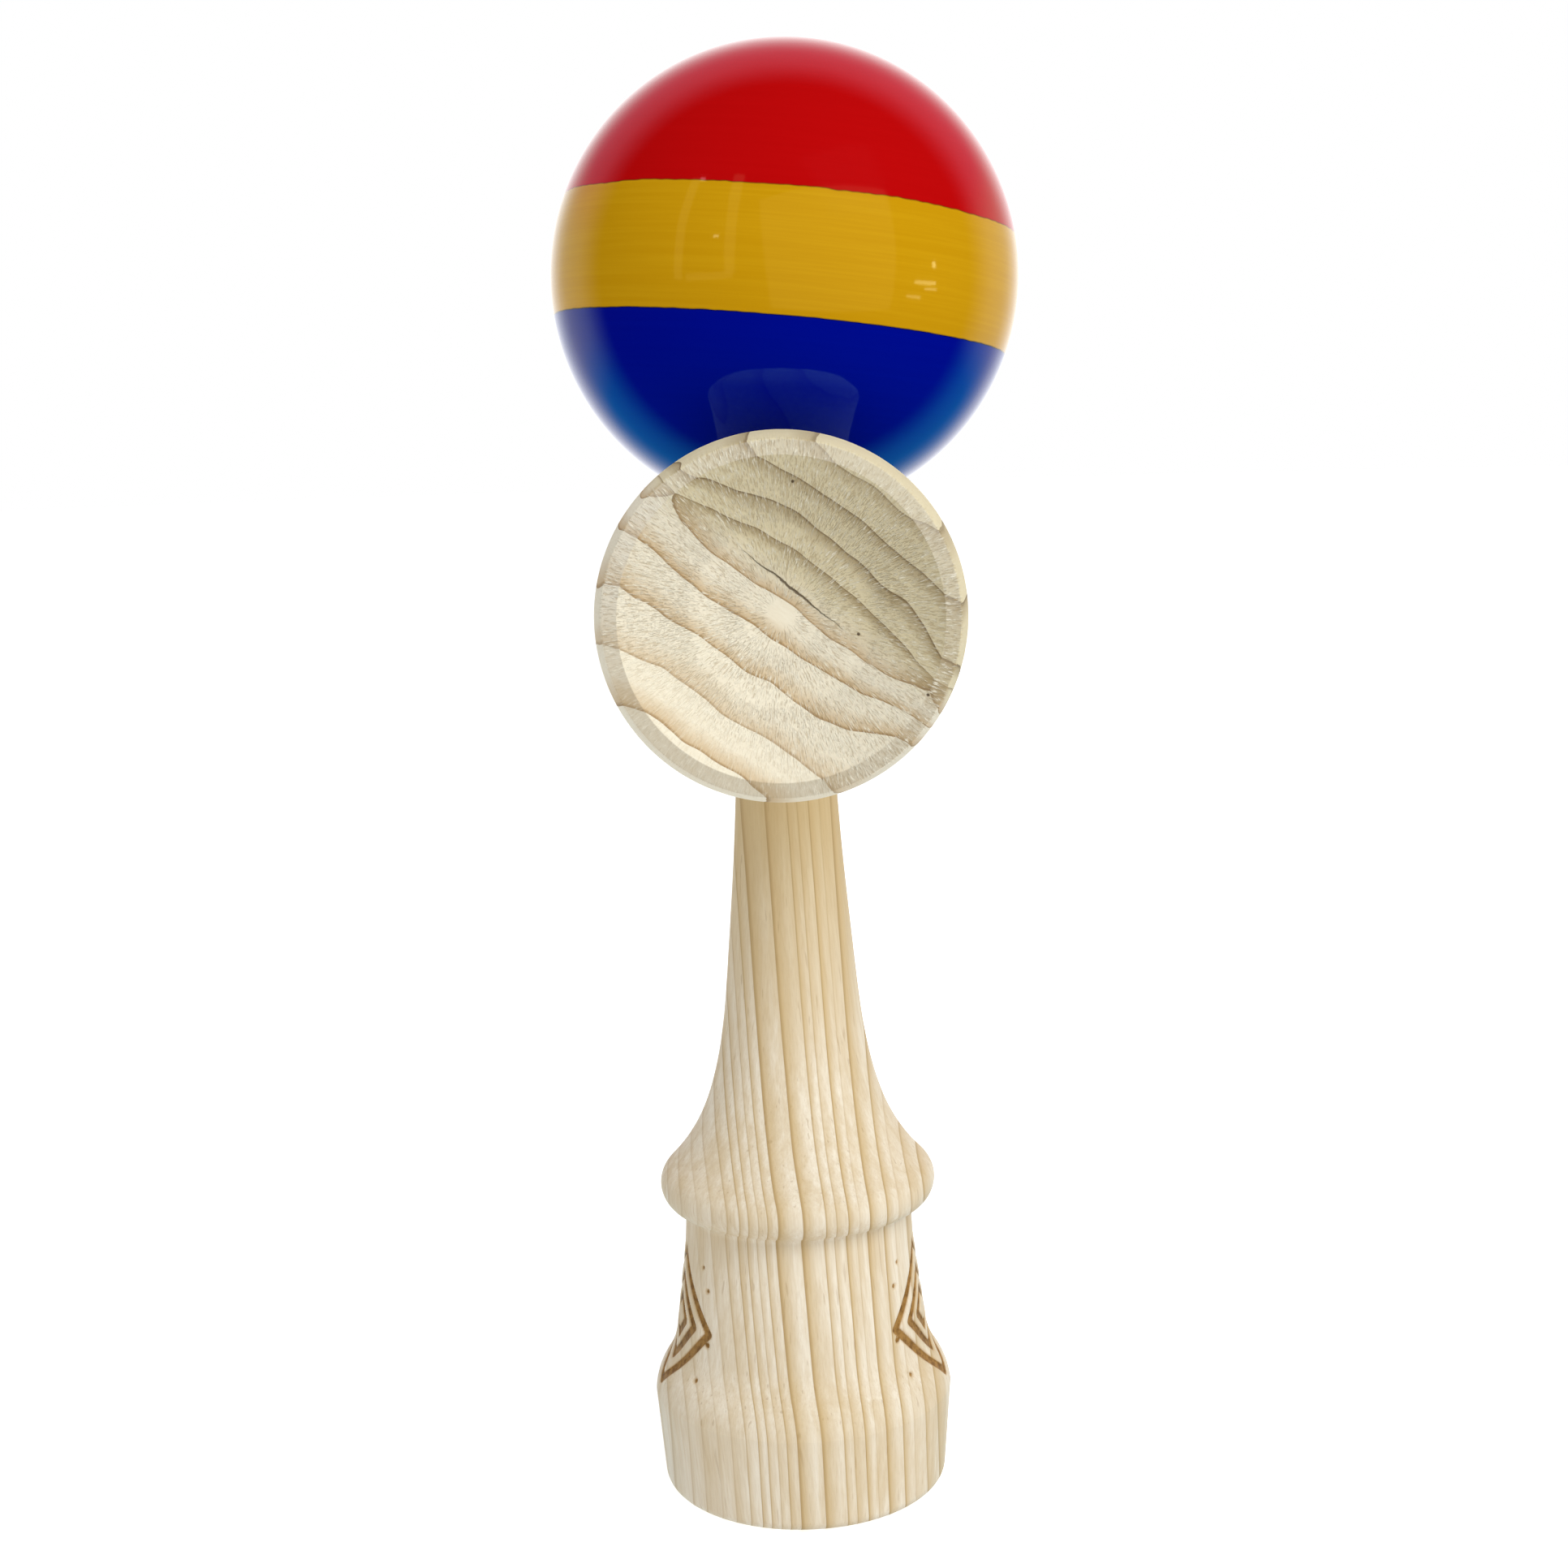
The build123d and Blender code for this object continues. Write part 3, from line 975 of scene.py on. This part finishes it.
def cross_pine():
    material, tree, surface = new_material("cross_piece_pine")
    point = millimetre_point(tree)
    # the log was bent here, so its pith bows away from the big cup and to one side
    from_pith = vector_of(tree, "SUBTRACT", point, cross_pith)
    along = vector_of(tree, "DOT_PRODUCT", from_pith, cross_grain)
    squared = maths(tree, "MINIMUM", product(tree, along, along), bend_limit)
    across = vector_of(tree, "DOT_PRODUCT", from_pith, across_grain)
    backwards = vector_of(tree, "SCALE", (0, 1, 0), product(tree, squared, cross_bend))
    # the rings pinch towards the two tips of the eye round the pith
    pinch = spread(tree, across, -0.5, 0.5, -0.001, 0.0092)
    pinch = added(tree, pinch, spread(tree, across, 2.0, 10.0, 0.0, -0.0088))
    lower_right = product(tree, spread(tree, across, -2.5, -7.0), spread(tree, along, -4.0, 6.0))
    pinch = added(tree, pinch, product(tree, lower_right, -0.009))
    pinch = added(tree, pinch, spread(tree, across, -8.0, -18.0, 0.0, 0.008))
    sideways = product(tree, squared, pinch)
    # the rings are wider on the lower side of the pith
    wider = product(tree, maths(tree, "MINIMUM", across, 0.0), -0.08)
    wider = added(tree, wider, spread(tree, across, 0.0, 3.0, 0.0, 1.1))
    sideways = added(tree, sideways, wider)
    straightened = vector_of(tree, "ADD", point, backwards)
    straightened = vector_of(tree, "ADD", straightened, vector_of(tree, "SCALE", across_grain, sideways))
    distance = ring_distance(tree, straightened, cross_pith, cross_grain, 2.0, 0.16, 1.2)
    count, darkness = ring_count(tree, distance, cross_edges)
    late = late_part(tree, count, darkness, 0.55, 1.0, 0.92)
    grain = fibre_streaks(tree, point, cross_grain, 2.2, 5.0)
    greyer = spread(tree, across, -4.0, 1.0)
    cream = blend_of(tree, greyer, shade(247, 240, 219), shade(230, 219, 184))
    late_brown = blend_of(tree, greyer, shade(200, 166, 114), shade(160, 140, 102))
    line_brown = blend_of(tree, greyer, shade(148, 112, 66), shade(112, 90, 62))
    # a broad soft darkening through each ring, under the narrow late wood
    broad = spread(tree, maths(tree, "FRACT", count), 0.1, 0.95)
    inner = product(tree, spread(tree, count, 1.0, 0.95), greyer)
    broad = product(tree, broad, added(tree, product(tree, inner, 0.4), 0.12))
    colour = blend_of(tree, broad, cream, late_brown)
    colour = toned(tree, colour, late["Shade"], 0.85, late_brown)
    colour = toned(tree, colour, late["Line"], 0.75, line_brown)
    from_axis = vector_of(tree, "SUBTRACT", point, (0, 0, cross_height))
    flat = vector_of(tree, "MULTIPLY", from_axis, (1, 0, 1))
    out = vector_of(tree, "LENGTH", flat)
    parts_of_point = place_node(tree, "ShaderNodeSeparateXYZ", {0: point})
    depth = parts_of_point.outputs["Y"]
    point_height = parts_of_point.outputs["Z"]
    stroke = torn_strokes(tree, flat, out)
    # the smooth chamfer outside each cup's ridge was sanded, so nothing is torn there
    sanded = spread(tree, out, big_ridge_radius - 0.1, big_ridge_radius + 0.3, 1.0, 0.12)
    torn = product(tree, spread(tree, distance, 22.0, 12.0, 0.35, 1.0), sanded)
    # only the bowls are torn: the outside of the piece was turned clean
    sag = maths(tree, "DIVIDE", product(tree, out, out), 2 * big_bowl_radius)
    in_big_cup = spread(tree, added(tree, depth, sag), -23.6, -24.2)
    in_small_cup = spread(tree, maths(tree, "SUBTRACT", depth, sag), 23.6, 24.2)
    torn = product(tree, torn, added(tree, in_big_cup, in_small_cup))
    pit = product(tree, spread(tree, stroke, 0.53, 0.64), torn)
    crest = product(tree, spread(tree, stroke, 0.48, 0.36), torn)
    ring_face = added(
        tree,
        ring_face_mask(tree, out, depth, big_mouth_radius, big_ridge_radius, big_face),
        ring_face_mask(tree, out, depth, small_mouth_radius, small_ridge_radius, small_face),
    )
    # the flat ring's own greyish end-grain tone, painted lighter towards the top and darker towards the
    # bottom: painted light and painted shade
    upper = spread(tree, point_height, cross_height - 12.0, cross_height + 12.0)
    ring_tone_painted_light = blend_of(tree, upper, shade(152, 136, 108), shade(212, 204, 190))
    colour = toned(tree, colour, ring_face, 0.45, ring_tone_painted_light)
    # torn fibres lighter on their crests and darker in their pits: partly their own tone, partly painted
    # highlight on the crests and painted shade in the pits
    colour = toned(tree, colour, pit, 0.4, shade(182, 156, 110))
    colour = toned(tree, colour, crest, 0.7, shade(252, 247, 228))
    streak = spread(tree, grain["Streak"], 0.3, 0.7)
    colour = toned(tree, colour, streak, 0.14, shade(196, 172, 130))
    crack = cup_crack(tree, flat, spread(tree, depth, -20.0, -21.0))
    colour = toned(tree, colour, crack, 0.85, shade(80, 58, 36))
    tree.links.new(colour, surface.inputs["Base Color"])
    set_looks(surface, {"Roughness": 0.62, "Specular IOR Level": 0.12})
    height = maths(tree, "SUBTRACT", crest, pit)
    height = maths(tree, "SUBTRACT", height, product(tree, crack, 4.0))
    surface_relief(tree, surface, height, 0.06)
    return material


def bare_wood(name, tone):
    """Plain drilled or turned wood for the ball's core and the bead."""
    material, tree, surface = new_material(name)
    point = millimetre_point(tree)
    upwards = (0.0, 0.0, 1.0)
    distance = ring_distance(tree, point, (60.0, 20.0, 0.0), upwards, 1.5, 0.08, 2.0)
    ring_width = 2.1
    late = late_part(tree, maths(tree, "DIVIDE", distance, ring_width), 0.7, 0.2, 1.2, 0.9)
    grain = fibre_streaks(tree, point, upwards, 2.6, 12.0)
    colour = blend_of(tree, late["Shade"], shade(*tone), shade(*(0.82 * level for level in tone)))
    streak = spread(tree, grain["Streak"], 0.3, 0.7)
    colour = toned(tree, colour, streak, 0.25, shade(*(0.7 * level for level in tone)))
    tree.links.new(colour, surface.inputs["Base Color"])
    set_looks(surface, {"Roughness": 0.6})
    surface_relief(tree, surface, streak, 0.03)
    return material


def make_lacquer_skin():
    """What the three coats share: turning streaks, orange peel and a dark line at the seams."""
    tree, given, result = new_group(
        "lacquer_skin", ["Point", "Axis"], ["Seam"], ["Streak", "Peel", "Seam Line"]
    )
    height = vector_of(tree, "DOT_PRODUCT", given["Point"], given["Axis"])
    drawn = vector_of(tree, "SCALE", given["Point"], 0.04)
    lifted = vector_of(tree, "SCALE", given["Axis"], product(tree, height, 2.2))
    streak = mottle(tree, vector_of(tree, "ADD", drawn, lifted), 1.0, 3.0, 0.6)
    tree.links.new(streak, result["Streak"])
    tree.links.new(mottle(tree, given["Point"], 0.28, 1.0), result["Peel"])
    tree.links.new(spread(tree, given["Seam"], 0.02, 0.16, 1.0, 0.0), result["Seam Line"])
    return tree


lacquer_skin = make_lacquer_skin()
ball_up = (ball_place.to_3x3() @ Vector((0, 0, 1))).normalized()


def lacquer(name, colour, streak_colour, streak_share, seam_colour, seam_share, tint):
    material, tree, surface = new_material(name)
    point = millimetre_point(tree)
    seam = place_node(tree, "ShaderNodeAttribute", attribute_name="seam").outputs["Fac"]
    skin = use_group(tree, lacquer_skin, {"Point": point, "Axis": ball_up, "Seam": seam})
    streak = spread(tree, skin["Streak"], 0.35, 0.7)
    paint = toned(tree, shade(*colour), streak, streak_share, shade(*streak_colour))
    paint = toned(tree, paint, skin["Seam Line"], seam_share, shade(*seam_colour))
    tree.links.new(paint, surface.inputs["Base Color"])
    set_looks(surface, {"Roughness": 0.06, "IOR": 1.42, "Specular Tint": tint})
    surface_relief(tree, surface, skin["Peel"], 0.012)
    return material


def wear(piece, material, body, node):
    """Give a piece its finish, tie it to its body, and hide the solid that it stands for."""
    piece.data.materials.clear()
    piece.data.materials.append(material)
    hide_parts(node)
    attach(piece, body)


wear(handle, handle_pine(), "handle", "handle")
wear(cross_piece, cross_pine(), "cross_piece", "cross_piece")
wear(ball_core, bare_wood("ball_wood", (214, 186, 140)), "ball", "ball_core")
wear(bead, bare_wood("bead_wood", (206, 172, 122)), "bead", "string_bead")
# each coat's colour, streaks and their share, seam line and its share, and tint of its reflections
paints = {
    "blue_lacquer": ((0, 9, 140), (0, 14, 150), 0.25, (0, 4, 40), 0.8, (0.3, 0.8, 1.0, 1)),
    "yellow_lacquer": ((199, 147, 9), (210, 161, 20), 0.4, (84, 62, 18), 0.7, (1.0, 0.9, 0.5, 1)),
    "red_lacquer": ((184, 7, 8), (192, 10, 12), 0.25, (112, 18, 10), 0.5, (1.0, 0.45, 0.6, 1)),
}
for name, paint in paints.items():
    wear(coats[name], lacquer(name, *paint), "ball", name)

# ---- floor ----
floor_shape = bmesh.new()
bmesh.ops.create_circle(floor_shape, cap_ends=True, segments=96, radius=4.0)
floor = put_in_scene("floor", mesh_of("floor", floor_shape))
floor.location.z = -0.0002
floor.visible_diffuse = False
floor.visible_glossy = False
floor.visible_shadow = False
floor_paint, _, floor_surface = new_material("pale_floor")
floor_looks = {"Base Color": (0.8, 0.8, 0.8, 1), "Roughness": 0.9, "Specular IOR Level": 0.0}
floor_looks |= {"Emission Color": (1, 1, 1, 1), "Emission Strength": 0.68}
set_looks(floor_surface, floor_looks)
floor.data.materials.append(floor_paint)


# ---- light ----
def soft_light(name, place, aim, width, height, brightness, tint=(1, 1, 1), in_lacquer=False):
    """A soft box of a given brightness. Those in the lacquer are only seen as reflections."""
    data = bpy.data.lights.new(name, "AREA")
    data.shape = "RECTANGLE"
    data.size = width
    data.size_y = height
    data.energy = brightness * pi * width * height
    data.color = tint
    lamp = put_in_scene(name, data)
    lamp.location = place
    lamp.rotation_mode = "QUATERNION"
    lamp.rotation_quaternion = (Vector(aim) - Vector(place)).to_track_quat("-Z", "Y")
    lamp.visible_camera = False
    lamp.visible_glossy = in_lacquer
    lamp.visible_diffuse = not in_lacquer


key_direction = Vector((0.47, -0.58, 0.67)).normalized()
key_distance = 1.5
object_middle = Vector((0, 0, 0.1))
soft_light(
    "key_light", object_middle + key_direction * key_distance, object_middle, 0.8, 0.8, 6.1
)

# Where a room would show in the lacquer: across and up the ball's face, wide and tall, all as
# shares of its radius, then brightness.
room_distance = 0.6
eye = Vector((0, -0.3066, 0.1448))
warm = (1.0, 0.88, 0.42)
room_patches = [
    ("wall", 0.18, 0.06, 0.62, 0.56, 0.7, warm),
    ("window_left", -0.40, 0.16, 0.035, 0.4, 0.9, warm),
    ("window_right", -0.205, 0.17, 0.045, 0.42, 0.9, warm),
    ("window_sill", -0.3, -0.03, 0.2, 0.03, 0.8, warm),
    ("lamp_high", -0.31, 0.345, 0.02, 0.014, 5.0, (1, 1, 0.85)),
    ("lamp_low", -0.265, 0.12, 0.022, 0.01, 8.0, (1, 1, 0.85)),
    ("shelf_top", 0.585, -0.005, 0.014, 0.02, 9.0, (1, 1, 0.7)),
    ("shelf_middle", 0.55, -0.075, 0.09, 0.012, 6.0, (1, 1, 0.7)),
    ("shelf_low", 0.57, -0.1, 0.05, 0.007, 6.0, (1, 1, 0.7)),
    ("shelf_bottom", 0.5, -0.13, 0.06, 0.01, 4.0, (1, 1, 0.7)),
]


def room_patch(name, across, up, wide, tall, brightness, tint):
    """A card placed so that the ball mirrors it at a given spot."""
    towards = sqrt(1 - across**2 - up**2)
    outwards = Vector((across, -towards, up))
    spot = ball_centre + outwards * ball_radius * MM
    sight = (spot - eye).normalized()
    mirrored = sight - outwards * 2 * sight.dot(outwards)
    reach = 2 * room_distance
    width = wide / sqrt(1 - across**2) * reach
    height = tall / sqrt(1 - up**2) * reach
    place = spot + mirrored * room_distance
    soft_light(name, place, spot, width, height, brightness, tint, in_lacquer=True)


for patch in room_patches:
    room_patch(*patch)

# The room is dim in front of the ball, and the white backdrop shows in its edges.
room_dim = 0.02
room_low = 0.07
backdrop_near = 0.95
backdrop_far = 1.5
ambient_above = 0.52
ambient_below = 0.88
world = bpy.data.worlds.new("studio")
bpy.context.scene.world = world
world.use_nodes = True
air = world.node_tree
air.nodes.clear()
rays = air.nodes.new("ShaderNodeLightPath")
heading = air.nodes.new("ShaderNodeTexCoord").outputs["Generated"]
heading_parts = place_node(air, "ShaderNodeSeparateXYZ", {0: heading}).outputs
behind = spread(air, heading_parts["Y"], 0.12, 0.5, 0.0, backdrop_near)
far_behind = spread(air, heading_parts["Y"], 0.68, 0.96, 0.0, backdrop_far - backdrop_near)
behind = added(air, behind, far_behind)
below = spread(air, heading_parts["Z"], -0.3, -0.75, room_dim, room_low)
room_light = maths(air, "MAXIMUM", behind, below)
rosy = spread(air, heading_parts["Z"], 0.15, 0.45)
bluish = spread(air, heading_parts["Z"], -0.15, -0.45)
room_tint = blend_of(air, rosy, (1.0, 0.95, 0.78, 1), (1.0, 0.42, 0.56, 1))
room_tint = blend_of(air, bluish, room_tint, (0.05, 0.7, 1.0, 1))
room_tint = blend_of(air, spread(air, heading_parts["Y"], 0.6, 0.94), room_tint, (1, 1, 1, 1))
seen_in_gloss = place_node(air, "ShaderNodeBackground", {"Color": room_tint, "Strength": room_light})
ambient = spread(air, heading_parts["Z"], -0.15, 0.15, ambient_below, ambient_above)
soft_white = place_node(air, "ShaderNodeBackground", {"Color": (1, 1, 1, 1), "Strength": ambient})
plain_white = place_node(air, "ShaderNodeBackground", {"Color": (1, 1, 1, 1), "Strength": 1.0})
lit = place_node(
    air,
    "ShaderNodeMixShader",
    {0: rays.outputs["Is Glossy Ray"], 1: soft_white.outputs[0], 2: seen_in_gloss.outputs[0]},
)
seen = place_node(
    air,
    "ShaderNodeMixShader",
    {0: rays.outputs["Is Camera Ray"], 1: lit.outputs[0], 2: plain_white.outputs[0]},
)
sky = air.nodes.new("ShaderNodeOutputWorld")
air.links.new(seen.outputs[0], sky.inputs["Surface"])
bpy.context.scene.view_settings.view_transform = "Standard"

# ---- camera ----
lens_mm = 54.04
camera_pitch = radians(7.5)
camera_roll = radians(-1.68)
lens_data = bpy.data.cameras.new("camera")
lens_data.lens = lens_mm
lens_data.sensor_width = 36.0
lens_data.shift_y = -0.0445
lens_data.clip_start = 0.01
camera = put_in_scene("camera", lens_data)
camera.matrix_world = (
    Matrix.Translation(eye)
    @ Matrix.Rotation(pi / 2 - camera_pitch, 4, "X")
    @ Matrix.Rotation(camera_roll, 4, "Z")
)
bpy.context.scene.camera = camera
